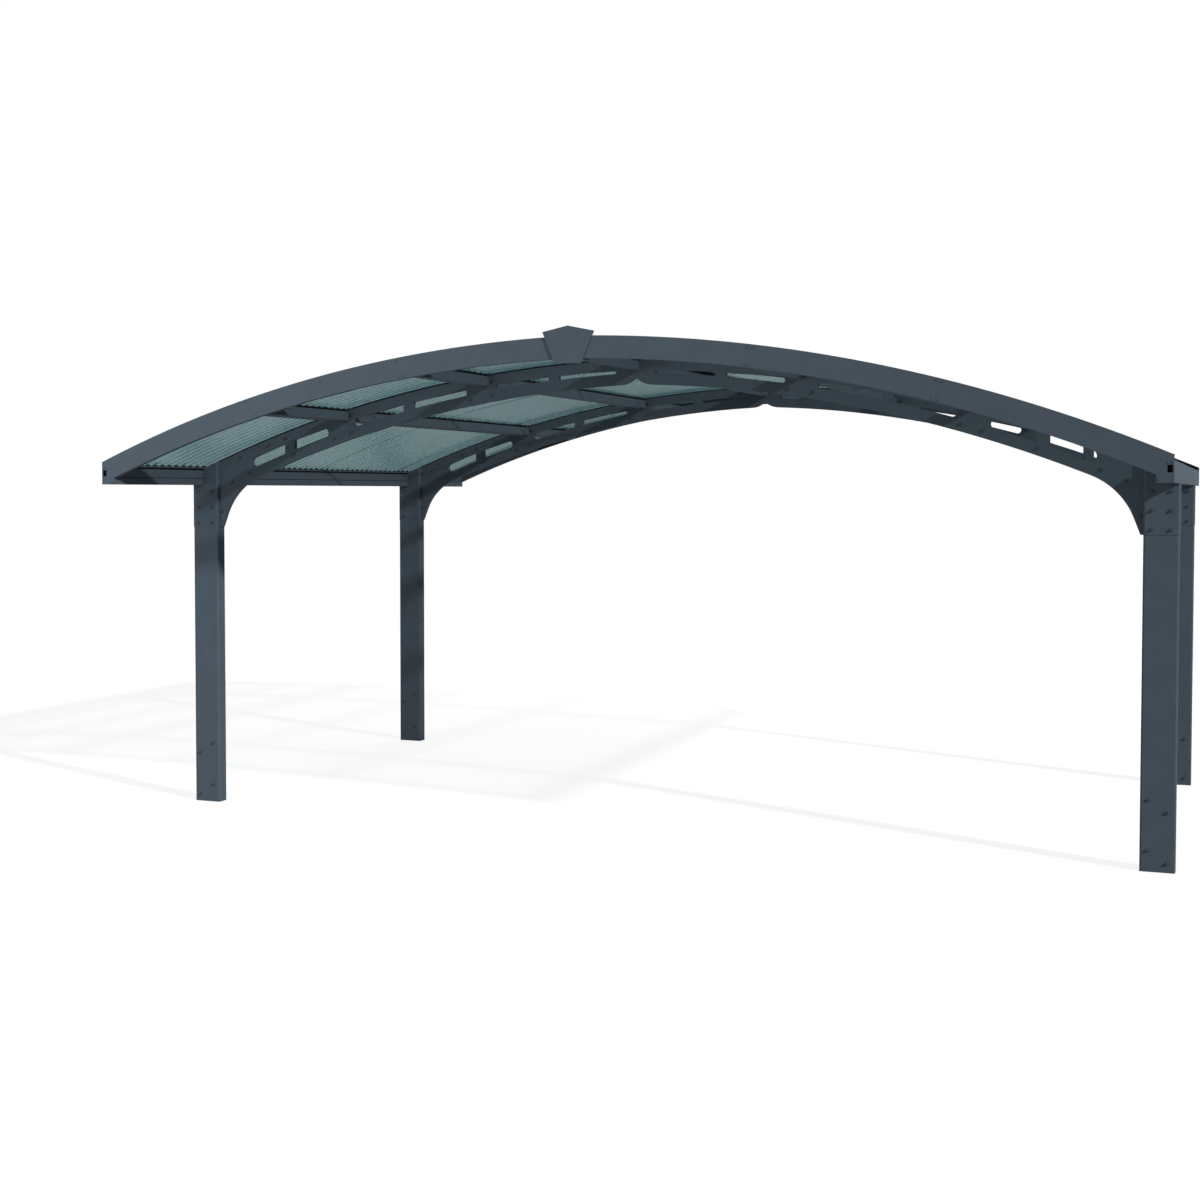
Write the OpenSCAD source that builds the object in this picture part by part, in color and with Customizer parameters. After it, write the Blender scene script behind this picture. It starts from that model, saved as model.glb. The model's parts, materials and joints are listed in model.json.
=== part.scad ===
// Arched double carport: four posts, two slotted arch trusses, purlins, corrugated roof sheets
// and a fascia arch at each end. Millimetres, +X to the right, +Y to the rear, +Z up,
// origin on the ground under the middle of the roof.

/* [Overall] */
// Width over the ends of the roof
span = 5800; // [5200:10:6400]
// Depth between the outer faces of the two fascia arches
depth = 4780; // [4200:10:5600]
// Height of the post tops, where the eave beams sit
eave_z = 1973; // [1800:1:2400]

/* [Roof arch] */
// Radius of the fascia's top edge
arch_r = 7600; // [6800:1:9000]
// How far past the middle line each half arch has its centre
arch_offset = 130; // [0:1:240]
// Height of the fascia's top edge above the post tops, at the end of the roof
arch_end_rise = 128; // [110:1:200]
// How far the top of the ridge cap lies below the fascia's top edge
roof_drop = 23; // [8:1:30]

/* [Fascia] */
// Height of the fascia band
fascia_h = 115; // [100:1:150]
// Thickness of the fascia's folded sheet
fascia_t = 4; // [2:0.5:6]
// Depth of the fascia's top flange
fascia_top_flange = 60; // [30:1:90]
// Depth of the fascia's bottom flange
fascia_low_flange = 36; // [15:1:60]
// How far the fascia's left joints lie outside the purlins; the keystone moves by half of it
fascia_lap = 76; // [0:1:120]
// Width of the tab that closes the end of an eave beam
tab_w = 77; // [60:1:110]
// Width of the drain window in the tab
window_w = 24; // [12:1:40]
// Height of the drain window in the tab
window_h = 35; // [15:1:45]
// Height of the drain window's sill above the tab's lower edge
window_sill = 46; // [20:1:60]
// Distance from the drain window to the end of the roof
window_edge = 6; // [4:1:15]

/* [Keystone] */
// Width of the keystone across its shoulders
keystone_w = 278; // [200:1:340]
// Width of the keystone along its foot
keystone_foot_w = 144; // [100:1:190]
// Height of the keystone's shoulders above the crown of the fascia
keystone_shoulder = 22; // [10:1:60]
// Height of the keystone's peak above its shoulders
keystone_peak = 29; // [10:1:60]
// How far the keystone's foot reaches below the crown of the fascia
keystone_drop = 142; // [100:1:180]
// How far the keystone stands in front of the fascia
keystone_proud = 8; // [4:1:40]
// How far the keystone's hood reaches back over the fascia
keystone_hood = 12; // [8:1:56]

/* [Posts] */
// Width of a post, across the span
post_w = 174; // [120:1:220]
// Depth of a post, along the carport
post_d = 83; // [60:1:120]
// Radius of a post's upright corners
post_r = 10; // [4:1:20]
// Wall of a post
post_wall = 4; // [2:0.5:6]
// Distance from a post's outer face to the end of the roof
post_inset = 3; // [3:1:20]
// Distance from the fascia's outer face to the post's near face
overhang = 927; // [600:1:1200]

/* [Post heads] */
// Length of the sleeve below the top of the post
head_h = 260; // [180:1:340]
// Wall of the sleeve
head_wall = 2; // [2:0.5:3.5]

/* [Eave beams] */
// Width of an eave beam
eave_w = 78; // [60:1:85]
// Wall of the gutter in the eave beam
gutter_wall = 4; // [2:0.5:6]
// Height of the gutter's outer wall
gutter_h = 103; // [80:1:106]
// Thickness of the eave beam's inner wall
eave_rib = 14; // [12:1:20]
// Height of the long slot in the inner wall
eave_slot_h = 11; // [6:1:14]
// Depth of the long slot in the inner wall
eave_slot_depth = 8; // [4:0.5:9]
// Distance from the long slot's upper edge to the top of the inner wall
eave_slot_drop = 9; // [6:1:30]
// Height of the fine groove above the beam's underside
eave_groove_z = 41; // [25:1:55]
// Height and depth of the fine groove
eave_groove = 4; // [2:0.5:6]

/* [Purlins] */
// Spacing of the purlins across the span
purlin_step = 925; // [800:5:960]
// Height of a purlin
purlin_h = 70; // [50:1:90]
// Width of a purlin
purlin_w = 40; // [30:1:60]
// Wall of a purlin
purlin_wall = 3; // [2:0.5:5]
// Height of the narrow neck at the top of a purlin
purlin_neck_h = 13; // [6:1:20]
// How far the neck steps back on each side
purlin_neck_step = 8; // [3:0.5:10]
// Radius of a purlin's lower corners
purlin_r = 2; // [2:0.5:10]

/* [Trusses] */
// Thickness of a truss
truss_t = 28; // [18:1:40]
// How far the top edge of a truss lies below the sheets
truss_drop = 8; // [2:1:16]
// Height of a truss at the crown
truss_crown_h = 140; // [134:1:170]
// Radius of a truss's lower edge
truss_r = 7090; // [6600:10:7400]
// How far past the middle line each half's lower edge has its centre
truss_offset = 210; // [150:1:260]
// Height of the chord below the slots
chord_low = 64; // [45:1:72]
// Height of the chord above the slots
chord_top = 60; // [40:1:64]
// Greatest height of a slot
slot_h = 57; // [30:1:65]
// Radius of the rounded lower corner of a truss half at the crown
notch_r = 140; // [120:1:200]
// Length of that rounded corner across the span
notch_w = 100; // [60:1:110]
// Radius of the haunch between truss and post
haunch_r = 385; // [300:5:600]
// Slope of the haunch where it runs out along the post, in degrees
haunch_deg = 69; // [60:1:78]
// Width of the haunch's toe beside the post head
haunch_toe = 13; // [12:1:40]
// Radius of the toe's corner
toe_r = 8; // [3:1:10]

/* [Roof sheets] */
// Thickness of a corrugated sheet
sheet_t = 2; // [1:0.5:3]
// Depth of the corrugation, from trough to crest
wave_depth = 16; // [8:1:24]
// Corrugations that each sheet covers
sheet_waves = 16; // [8:1:20]
// Gap between a sheet's edge and the fascia
sheet_edge = 4; // [2:1:10]
// Distance from a sheet's lower end to the end of the roof
sheet_end = 28; // [22:1:40]
// Gap between left and right sheets at the ridge
ridge_gap = 12; // [6:1:30]
// Width of the ridge cap
cap_w = 180; // [120:1:260]
// Thickness of the ridge cap
cap_t = 2.5; // [1.5:0.5:4]

/* [Hidden] */

// Facets of a full circle in the preview
$fn = 256;

frame_colour = [0.28, 0.32, 0.36];
post_colour = [0.30, 0.34, 0.38];
sheet_colour = [0.48, 0.58, 0.59, 0.6];

// Clearance between pieces that seat on each other
seat = 0.3;
// Overrun of every cut
over = 10;
// Sheets in each half of the roof
sheet_count = 4;
// Points along one corrugation
wave_points = 6;

// Half of the span, and the two faces of the eave beam
end_x = span / 2;
eave_x = end_x - eave_w;
// Outer face of the front fascia and centre line of the front truss
front_y = -depth / 2;
truss_y = front_y + overhang + post_d / 2;
// Inner face of the fascia plate
fascia_back_y = front_y + fascia_t;

// Height of the arch's centre
arch_cz = eave_z + arch_end_rise - sqrt(pow(arch_r, 2) - pow(end_x + arch_offset, 2));
// Height of the arch of radius r at a distance x from the middle line
function arch_z(x, r) = arch_cz + sqrt(pow(r, 2) - pow(x + arch_offset, 2));
// Angle of that place, from the horizontal
function arch_deg(x, r) = acos((x + arch_offset) / r);

// Radii of the layers of the roof, from the fascia's top edge down
cap_r = arch_r - roof_drop - cap_t;
lap_rise = sheet_t + seat;
sheet_r = cap_r - seat - lap_rise - sheet_t - wave_depth;
purlin_top_r = sheet_r - seat;
truss_top_r = sheet_r - truss_drop;

// Crown of the fascia's top edge
crown_z = arch_z(0, arch_r);

// Place of a post and of the sleeve on it
post_x = end_x - post_inset - post_w / 2;
head_w = post_w + 2 * (seat + head_wall);
head_d = post_d + 2 * (seat + head_wall);
head_r = post_r + seat + head_wall;
head_x = post_x - head_w / 2;
head_z = eave_z - head_h;

// Lower edge of a truss half
truss_low_z = arch_z(0, truss_top_r) - truss_crown_h;
truss_cz = truss_low_z - sqrt(pow(truss_r, 2) - pow(truss_offset, 2));
function low_z(x, rise) = truss_cz + sqrt(pow(truss_r + rise, 2) - pow(x + truss_offset, 2));
function low_deg(x, rise) = asin((x + truss_offset) / (truss_r + rise));

// Haunch: an arc that leaves the lower edge at a tangent and runs out to the toe
toe_x = head_x - seat - haunch_toe;
toe_reach = (toe_x + truss_offset) * sin(haunch_deg) + (head_z - truss_cz) * cos(haunch_deg);
haunch_start_deg = haunch_deg - acos((toe_reach - haunch_r) / (truss_r - haunch_r));
haunch_cx = -truss_offset + (truss_r - haunch_r) * sin(haunch_start_deg);
haunch_cz = truss_cz + (truss_r - haunch_r) * cos(haunch_start_deg);
haunch_end = [haunch_cx + haunch_r * sin(haunch_deg), haunch_cz + haunch_r * cos(haunch_deg)];
// Angle by which the haunch's sector runs into the regions beside it
sector_lap_deg = 2;

// Slots in a truss, as shares of the bay between two purlins or between a purlin and the eave
bay_slot_shares = [[0.125, 0.5], [0.57, 0.93]];
eave_slot_shares = [[0.11, 0.35], [0.42, 0.66]];
// Bays of one truss half
bays = [[0, purlin_step], [purlin_step, 2 * purlin_step], [2 * purlin_step, eave_x]];

// Roof sheets between the two fascia arches
roof_run = depth - 2 * (fascia_t + sheet_edge);
sheet_cover = roof_run / sheet_count;
wave_pitch = sheet_cover / sheet_waves;

// Turns a flat shape drawn in x and z about the x axis, so that its thickness t is centred on y
module upright(y, t) {
    translate([0, y + t / 2, 0]) rotate([90, 0, 0]) linear_extrude(t) children();
}

// Copies a piece made for the front right to the named side
module side(x_sign, y_sign) {
    mirror([x_sign < 0 ? 1 : 0, 0, 0]) mirror([0, y_sign < 0 ? 1 : 0, 0]) children();
}

// Sweeps a profile of radius and depth round the axis of the right half arch
module arch_sweep(low_deg, high_deg) {
    translate([-arch_offset, 0, arch_cz]) rotate([90, 0, 0]) rotate([0, 0, low_deg])
        rotate_extrude(angle = high_deg - low_deg) children();
}

// Rectangle with round corners, centred
module round_rect(w, d, r) {
    square([w - 2 * r, d], center = true);
    square([w, d - 2 * r], center = true);
    for (sx = [-1, 1], sy = [-1, 1])
        translate([sx * (w / 2 - r), sy * (d / 2 - r)]) circle(r);
}

// Post: a tube with rounded corners that stands on the ground
module post(x_sign, y_sign) {
    color(post_colour) side(x_sign, y_sign) translate([post_x, truss_y, 0]) linear_extrude(eave_z)
        difference() {
            round_rect(post_w, post_d, post_r);
            round_rect(post_w - 2 * post_wall, post_d - 2 * post_wall, post_r - post_wall / 2);
        }
}

// Post head: a sleeve round the top of the post, whose inner part runs up to the roof
module head(x_sign, y_sign) {
    color(frame_colour) side(x_sign, y_sign) intersection() {
        difference() {
            translate([post_x, truss_y, head_z]) linear_extrude(crown_z - head_z)
                difference() {
                    round_rect(head_w, head_d, head_r);
                    round_rect(post_w + 2 * seat, post_d + 2 * seat, post_r + seat);
                }
            head_truss_slot();
            head_eave_cut();
        }
        translate([-arch_offset, truss_y, arch_cz]) rotate([90, 0, 0])
            cylinder(r = truss_top_r, h = 2 * head_d, center = true);
    }
}

// Room for the truss in the inner wall of the head, above the post
module head_truss_slot() {
    translate([head_x - over, truss_y - truss_t / 2 - seat, eave_z])
        cube([head_wall + 2 * over, truss_t + 2 * seat, crown_z]);
}

// Room for the eave beam on the outer part of the post
module head_eave_cut() {
    translate([eave_x - seat, truss_y - head_d, eave_z]) cube([head_w, 2 * head_d, crown_z]);
}

// Eave beam: an extruded gutter with a slotted inner wall, from fascia to fascia
module eave_beam(x_sign) {
    rib_x = eave_x + eave_rib;
    wall_top = arch_z(eave_x, purlin_top_r);
    slot_top = wall_top - eave_slot_drop;
    groove_mid = eave_z + eave_groove_z;
    color(frame_colour) side(x_sign, 1) upright(0, depth - 2 * (fascia_t + seat)) polygon([
        [eave_x, eave_z],
        [end_x, eave_z],
        [end_x, eave_z + gutter_h],
        [end_x - gutter_wall, eave_z + gutter_h],
        [end_x - gutter_wall, eave_z + gutter_wall],
        [rib_x, eave_z + gutter_wall],
        [rib_x, arch_z(rib_x, purlin_top_r)],
        [eave_x, wall_top],
        [eave_x, slot_top],
        [eave_x + eave_slot_depth, slot_top],
        [eave_x + eave_slot_depth, slot_top - eave_slot_h],
        [eave_x, slot_top - eave_slot_h],
        [eave_x, groove_mid + eave_groove / 2],
        [eave_x + eave_groove, groove_mid],
        [eave_x, groove_mid - eave_groove / 2]
    ]);
}

// Outline of the space under a truss half: lower edge, haunch and run out to the toe
module under_truss() {
    tip = [toe_x, head_z];
    first_deg = haunch_start_deg - sector_lap_deg;
    last_deg = haunch_deg + sector_lap_deg;
    intersection() {
        translate([-truss_offset, truss_cz]) circle(truss_r);
        polygon([
            [-truss_offset, truss_cz],
            [-truss_offset, truss_cz + 2 * truss_r],
            [-truss_offset + 2 * truss_r * sin(haunch_start_deg),
             truss_cz + 2 * truss_r * cos(haunch_start_deg)]
        ]);
    }
    intersection() {
        translate([haunch_cx, haunch_cz]) circle(haunch_r);
        polygon([
            [haunch_cx, haunch_cz],
            [haunch_cx + 2 * haunch_r * sin(first_deg), haunch_cz + 2 * haunch_r * cos(first_deg)],
            [haunch_cx + 2 * haunch_r * sin(last_deg), haunch_cz + 2 * haunch_r * cos(last_deg)]
        ]);
    }
    polygon([
        [-truss_offset, truss_cz],
        [haunch_cx - haunch_r / 2, haunch_cz],
        haunch_end,
        tip,
        [toe_x, truss_cz]
    ]);
}

// Corner cut off the toe, less the round that stays
module toe_corner() {
    trim = toe_r * tan(haunch_deg / 2);
    mid = [toe_x + trim, head_z + toe_r];
    difference() {
        polygon([
            [toe_x, head_z],
            [toe_x + trim, head_z],
            mid,
            [toe_x - trim * cos(haunch_deg), head_z + trim * sin(haunch_deg)]
        ]);
        translate(mid) circle(toe_r);
    }
}

// Corner cut off a truss half at the crown, less the round that stays
module crown_corner() {
    base_z = low_z(notch_w, 0);
    difference() {
        translate([-over, base_z - over]) square([notch_w + over, notch_r + over]);
        translate([notch_w, base_z + notch_r]) circle(notch_r);
    }
}

// Upper edge of a slot at a place across the span
function slot_top_z(x) = min(low_z(x, chord_low + slot_h), arch_z(x, truss_top_r - chord_top));
// Radius of a slot's round end
function slot_end_r(x) =
    (slot_top_z(x) - low_z(x, chord_low)) * cos(low_deg(x, chord_low)) / 2;

// Slot between x0 and x1, round at the end that lies towards round_sign and square at the other
module slot(x0, x1, round_sign) {
    tip_x = round_sign < 0 ? x0 : x1;
    end_r = slot_end_r(tip_x - round_sign * slot_h / 2);
    mid_x = tip_x - round_sign * end_r;
    cut0 = round_sign < 0 ? mid_x : x0;
    cut1 = round_sign < 0 ? x1 : mid_x;
    intersection() {
        difference() {
            translate([-truss_offset, truss_cz]) circle(truss_r + chord_low + slot_h);
            translate([-truss_offset, truss_cz]) circle(truss_r + chord_low);
        }
        translate([-arch_offset, arch_cz]) circle(truss_top_r - chord_top);
        translate([cut0, eave_z]) square([cut1 - cut0, crown_z]);
    }
    translate([mid_x, (low_z(mid_x, chord_low) + slot_top_z(mid_x)) / 2]) circle(end_r);
}

// The slots of one truss half, two in each bay
module slots() {
    for (i = [0 : len(bays) - 1]) {
        start = bays[i][0];
        width = bays[i][1] - start;
        shares = i == len(bays) - 1 ? eave_slot_shares : bay_slot_shares;
        for (k = [0, 1])
            slot(start + width * shares[k][0], start + width * shares[k][1], k == 0 ? -1 : 1);
    }
}

// Outline of the right half of a truss
module truss_outline() {
    difference() {
        intersection() {
            translate([-arch_offset, arch_cz]) rotate(arch_deg(0, truss_top_r)) circle(truss_top_r);
            polygon([
                [seat / 2, head_z],
                [head_x - seat, head_z],
                [head_x - seat, eave_z + seat],
                [eave_x - seat, eave_z + seat],
                [eave_x - seat, 2 * crown_z],
                [seat / 2, 2 * crown_z]
            ]);
        }
        under_truss();
        toe_corner();
        crown_corner();
        slots();
    }
}

// Truss half: a slotted plate with a haunch that runs down the post head
module truss(x_sign, y_sign) {
    color(frame_colour) side(x_sign, y_sign) upright(truss_y, truss_t) truss_outline();
}

// Section of a purlin: a box with rounded lower corners and a narrow neck, hollow
module purlin_section() {
    neck_w = purlin_w - 2 * purlin_neck_step;
    body_h = purlin_h - purlin_neck_h;
    bore_w = purlin_w - 2 * purlin_wall;
    difference() {
        union() {
            translate([-neck_w / 2, -purlin_h / 2]) square([neck_w, purlin_h / 2]);
            translate([-purlin_w / 2, -purlin_h + purlin_r]) square([purlin_w, body_h - purlin_r]);
            translate([-purlin_w / 2 + purlin_r, -purlin_h]) square([purlin_w - 2 * purlin_r, body_h]);
            for (sx = [-1, 1])
                translate([sx * (purlin_w / 2 - purlin_r), -purlin_h + purlin_r]) circle(purlin_r);
        }
        translate([-bore_w / 2, -purlin_h + purlin_wall]) square([bore_w, body_h - 2 * purlin_wall]);
    }
}

// One length of purlin between two places along the carport
module purlin_length(y0, y1) {
    upright((y0 + y1) / 2, y1 - y0) purlin_section();
}

// Room for the fascia's bottom flange under the end of a purlin
module purlin_flange_room(y) {
    room_top = arch_r - fascia_h + fascia_t + 2 * seat - purlin_top_r;
    translate([-purlin_w, y - fascia_low_flange - seat, room_top - 2 * purlin_h])
        cube([2 * purlin_w, 2 * (fascia_low_flange + seat), 2 * purlin_h]);
}

// The three lengths of a purlin: fascia to truss, truss to truss and truss to fascia
module purlin_run() {
    truss_face = truss_t / 2 + seat;
    difference() {
        union() {
            purlin_length(fascia_back_y + seat, truss_y - truss_face);
            purlin_length(truss_y + truss_face, -truss_y - truss_face);
            purlin_length(-truss_y + truss_face, -fascia_back_y - seat);
        }
        purlin_flange_room(front_y);
        purlin_flange_room(-front_y);
    }
}

// Purlin at a distance from the ridge, square to the arch
module purlin(x_sign, x) {
    turn = 90 - arch_deg(x, purlin_top_r);
    color(frame_colour) side(x_sign, 1)
        translate([x, 0, arch_z(x, purlin_top_r)]) rotate([0, turn, 0]) purlin_run();
}

// Purlin under the ridge
module purlin_ridge() {
    color(frame_colour) translate([0, 0, arch_z(purlin_w / 2, purlin_top_r)]) purlin_run();
}

// Folded profile of the fascia: a plate with a flange along each edge
module fascia_profile() {
    low_r = arch_r - fascia_h;
    polygon([
        [low_r, -front_y],
        [arch_r, -front_y],
        [arch_r, -front_y - fascia_top_flange],
        [arch_r - fascia_t, -front_y - fascia_top_flange],
        [arch_r - fascia_t, -fascia_back_y],
        [low_r + fascia_t, -fascia_back_y],
        [low_r + fascia_t, -front_y - fascia_low_flange],
        [low_r, -front_y - fascia_low_flange]
    ]);
}

// Length of fascia between two joints, cut square at the ridge and at the end of the roof
module fascia_band(low_deg, high_deg) {
    intersection() {
        arch_sweep(low_deg, high_deg) fascia_profile();
        translate([seat / 2, front_y - over, eave_z]) cube([end_x - seat / 2, depth, crown_z]);
    }
}

// Upper or middle length of the fascia
module fascia(x_sign, y_sign, low_deg, high_deg) {
    color(frame_colour) side(x_sign, y_sign) fascia_band(low_deg, high_deg);
}

// Lowest length of the fascia, with the tab over the end of the eave beam
module fascia_lower(x_sign, y_sign) {
    tab_x = end_x - tab_w;
    color(frame_colour) side(x_sign, y_sign) difference() {
        union() {
            fascia_band(fascia_end_deg, fascia_joint_deg(x_sign, 2) - fascia_gap_deg);
            intersection() {
                upright(front_y + fascia_t / 2, fascia_t)
                    translate([tab_x, eave_z]) square([tab_w, arch_end_rise]);
                translate([-arch_offset, front_y, arch_cz]) rotate([90, 0, 0])
                    cylinder(r = arch_r - fascia_t, h = depth, center = true);
            }
        }
        translate([end_x - window_edge - window_w, front_y - over, eave_z + window_sill])
            cube([window_w, fascia_t + 2 * over, window_h]);
        fascia_eave_room();
    }
}

// Room behind the tab for the end of the eave beam
module fascia_eave_room() {
    room_h = arch_z(eave_x, purlin_top_r) + seat - eave_z;
    translate([eave_x - seat, fascia_back_y, eave_z - over])
        cube([eave_w + over, fascia_top_flange, room_h + over]);
}

// Joints of the fascia: over the purlins on the right, further out by the lap on the left
function fascia_joint_deg(x_sign, i) =
    arch_deg(i * purlin_step + (x_sign < 0 ? fascia_lap : 0), arch_r);
// Half of the gap at a joint, and the angles past the end and past the ridge
fascia_gap_deg = asin(seat / arch_r);
fascia_end_deg = arch_deg(end_x + fascia_h, arch_r);
fascia_ridge_deg = 90 + fascia_gap_deg;

// Keystone: a five-sided plate on the fascia, with a short hood over the crown
module keystone(y_sign) {
    shoulder_z = crown_z + keystone_shoulder;
    foot_z = crown_z - keystone_drop;
    color(frame_colour) side(1, y_sign) translate([-fascia_lap / 2, 0, 0]) difference() {
        upright(front_y + (keystone_hood - keystone_proud) / 2, keystone_hood + keystone_proud)
            polygon([
                [-keystone_foot_w / 2, foot_z],
                [keystone_foot_w / 2, foot_z],
                [keystone_w / 2, shoulder_z],
                [0, shoulder_z + keystone_peak],
                [-keystone_w / 2, shoulder_z]
            ]);
        translate([-keystone_w, front_y, foot_z - over])
            cube([2 * keystone_w, keystone_hood + over, keystone_drop + over + seat]);
    }
}

// Radius of a sheet's underside at a place along the carport
function wave_r(y, rise) =
    sheet_r + rise + wave_depth * (1 - cos(360 * (y + roof_run / 2) / wave_pitch)) / 2;

// Roof sheet: a corrugated strip bent along the arch, each second one lapped over its neighbours
module sheet(x_sign, i) {
    rise = i % 2 == 0 ? lap_rise : 0;
    lap = i < sheet_count ? 1 : 0;
    steps = wave_points * (sheet_waves + lap);
    step = wave_pitch / wave_points;
    start_y = -roof_run / 2 + (i - 1) * sheet_cover;
    ys = [for (k = [0 : steps]) start_y + k * step];
    under = [for (y = ys) [wave_r(y, rise), -y]];
    top = [for (k = [steps : -1 : 0]) [wave_r(ys[k], rise) + sheet_t, -ys[k]]];
    color(sheet_colour) side(x_sign, 1)
        arch_sweep(arch_deg(end_x - sheet_end, sheet_r), arch_deg(ridge_gap / 2, sheet_r))
            polygon(concat(under, top));
}

// One half of the ridge cap
module ridge_cap_half() {
    intersection() {
        arch_sweep(arch_deg(cap_w / 2, cap_r), fascia_ridge_deg)
            translate([cap_r, -roof_run / 2]) square([cap_t, roof_run]);
        translate([0, -depth / 2, eave_z]) cube([end_x, depth, crown_z]);
    }
}

// Ridge cap: a strip over the crests of the sheets, slightly folded along the ridge
module ridge_cap() {
    color(frame_colour) {
        ridge_cap_half();
        mirror([1, 0, 0]) ridge_cap_half();
    }
}

// Upper and middle fascia lengths of one quarter
module fascia_upper(x_sign, y_sign) {
    fascia(x_sign, y_sign, fascia_joint_deg(x_sign, 1), fascia_ridge_deg);
}

module fascia_middle(x_sign, y_sign) {
    high_deg = fascia_joint_deg(x_sign, 1) - fascia_gap_deg;
    fascia(x_sign, y_sign, fascia_joint_deg(x_sign, 2), high_deg);
}

post(-1, 1);  // post_front_left
post(1, 1);  // post_front_right
post(-1, -1);  // post_rear_left
post(1, -1);  // post_rear_right
head(-1, 1);  // head_front_left
head(1, 1);  // head_front_right
head(-1, -1);  // head_rear_left
head(1, -1);  // head_rear_right
eave_beam(-1);  // eave_beam_left
eave_beam(1);  // eave_beam_right
truss(-1, 1);  // truss_front_left
truss(1, 1);  // truss_front_right
truss(-1, -1);  // truss_rear_left
truss(1, -1);  // truss_rear_right
purlin_ridge();
purlin(-1, purlin_step);  // purlin_left_upper
purlin(-1, 2 * purlin_step);  // purlin_left_lower
purlin(1, purlin_step);  // purlin_right_upper
purlin(1, 2 * purlin_step);  // purlin_right_lower
fascia_upper(-1, 1);  // fascia_front_left_upper
fascia_middle(-1, 1);  // fascia_front_left_middle
fascia_lower(-1, 1);  // fascia_front_left_lower
fascia_upper(1, 1);  // fascia_front_right_upper
fascia_middle(1, 1);  // fascia_front_right_middle
fascia_lower(1, 1);  // fascia_front_right_lower
fascia_upper(-1, -1);  // fascia_rear_left_upper
fascia_middle(-1, -1);  // fascia_rear_left_middle
fascia_lower(-1, -1);  // fascia_rear_left_lower
fascia_upper(1, -1);  // fascia_rear_right_upper
fascia_middle(1, -1);  // fascia_rear_right_middle
fascia_lower(1, -1);  // fascia_rear_right_lower
keystone(1);  // keystone_front
keystone(-1);  // keystone_rear
sheet(-1, 1);  // sheet_left_1
sheet(-1, 2);  // sheet_left_2
sheet(-1, 3);  // sheet_left_3
sheet(-1, 4);  // sheet_left_4
sheet(1, 1);  // sheet_right_1
sheet(1, 2);  // sheet_right_2
sheet(1, 3);  // sheet_right_3
sheet(1, 4);  // sheet_right_4
ridge_cap();
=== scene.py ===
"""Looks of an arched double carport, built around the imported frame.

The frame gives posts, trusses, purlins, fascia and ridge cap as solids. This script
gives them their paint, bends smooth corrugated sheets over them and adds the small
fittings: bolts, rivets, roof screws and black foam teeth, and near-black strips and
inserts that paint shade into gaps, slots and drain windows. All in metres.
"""

from __future__ import annotations

import json
import logging
import math
from dataclasses import dataclass, field
from enum import Enum
from typing import Callable, Iterable, Sequence

import bmesh
import bpy
from mathutils import Matrix, Vector

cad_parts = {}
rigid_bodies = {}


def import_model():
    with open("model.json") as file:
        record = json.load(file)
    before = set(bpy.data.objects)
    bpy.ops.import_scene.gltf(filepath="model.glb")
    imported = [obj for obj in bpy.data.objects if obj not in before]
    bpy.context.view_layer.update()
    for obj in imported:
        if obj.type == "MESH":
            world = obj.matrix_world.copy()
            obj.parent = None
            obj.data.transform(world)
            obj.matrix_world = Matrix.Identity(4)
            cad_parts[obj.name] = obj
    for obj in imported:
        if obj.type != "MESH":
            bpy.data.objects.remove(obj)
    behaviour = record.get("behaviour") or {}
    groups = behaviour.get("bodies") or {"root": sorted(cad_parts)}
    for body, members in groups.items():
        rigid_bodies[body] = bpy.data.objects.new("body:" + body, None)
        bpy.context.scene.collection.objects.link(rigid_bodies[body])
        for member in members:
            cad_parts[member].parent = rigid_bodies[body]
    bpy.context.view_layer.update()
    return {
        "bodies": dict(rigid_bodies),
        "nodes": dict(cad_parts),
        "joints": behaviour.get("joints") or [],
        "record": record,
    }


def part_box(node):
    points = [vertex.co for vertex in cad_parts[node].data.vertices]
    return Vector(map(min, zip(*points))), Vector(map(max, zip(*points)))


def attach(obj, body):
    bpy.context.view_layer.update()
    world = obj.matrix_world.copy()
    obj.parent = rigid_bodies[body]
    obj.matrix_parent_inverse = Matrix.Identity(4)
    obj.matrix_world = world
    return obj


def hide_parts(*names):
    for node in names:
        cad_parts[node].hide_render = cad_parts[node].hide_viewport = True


LOG = logging.getLogger("carport")
BODY = "root"

# Arc of the fascia's upper edge, with the place of its tip from the arc's centre and the ground
ROOF_RADIUS = 7.6
ROOF_REACH = 3.03
ROOF_EDGE_Z = 2.101

# Least cosine at which a face counts as facing an axis, and the gap within which points are one
FACING = 0.9
WELD = 1e-5

Colour = tuple[float, float, float]
Item = bmesh.types.BMFace | bmesh.types.BMVert


class Direction(Enum):
    """Sign along an axis."""

    @property
    def word(self) -> str:
        """Name as it stands in the node names."""
        return self.name.lower()


class Side(Direction):
    """Half of the carport, as the sign of its X."""

    LEFT = -1
    RIGHT = 1


class End(Direction):
    """End of the carport, as the sign of its Y."""

    FRONT = -1
    REAR = 1


class Slot(Enum):
    """Material slots of the record."""

    FRAME = "frame_paint"
    POST = "post_paint"
    SHEET = "roof_sheet"


QUARTERS: list[tuple[Side, End]] = [(s, e) for e in End for s in Side]


def tag_of(side: Side, end: End) -> str:
    """End and side as they stand together in the node names."""
    return f"{end.word}_{side.word}"


def faces_of(node: str) -> list[tuple[float, int]]:
    """Front and rear face of a solid, as Y and the sign of the face's normal."""
    low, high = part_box(node)
    return [(low.y, End.FRONT.value), (high.y, End.REAR.value)]


def outer_face(node: str, end: End) -> float:
    """Y of the face of a solid that looks out of one end of the carport."""
    low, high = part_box(node)
    return low.y if end is End.FRONT else high.y


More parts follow.
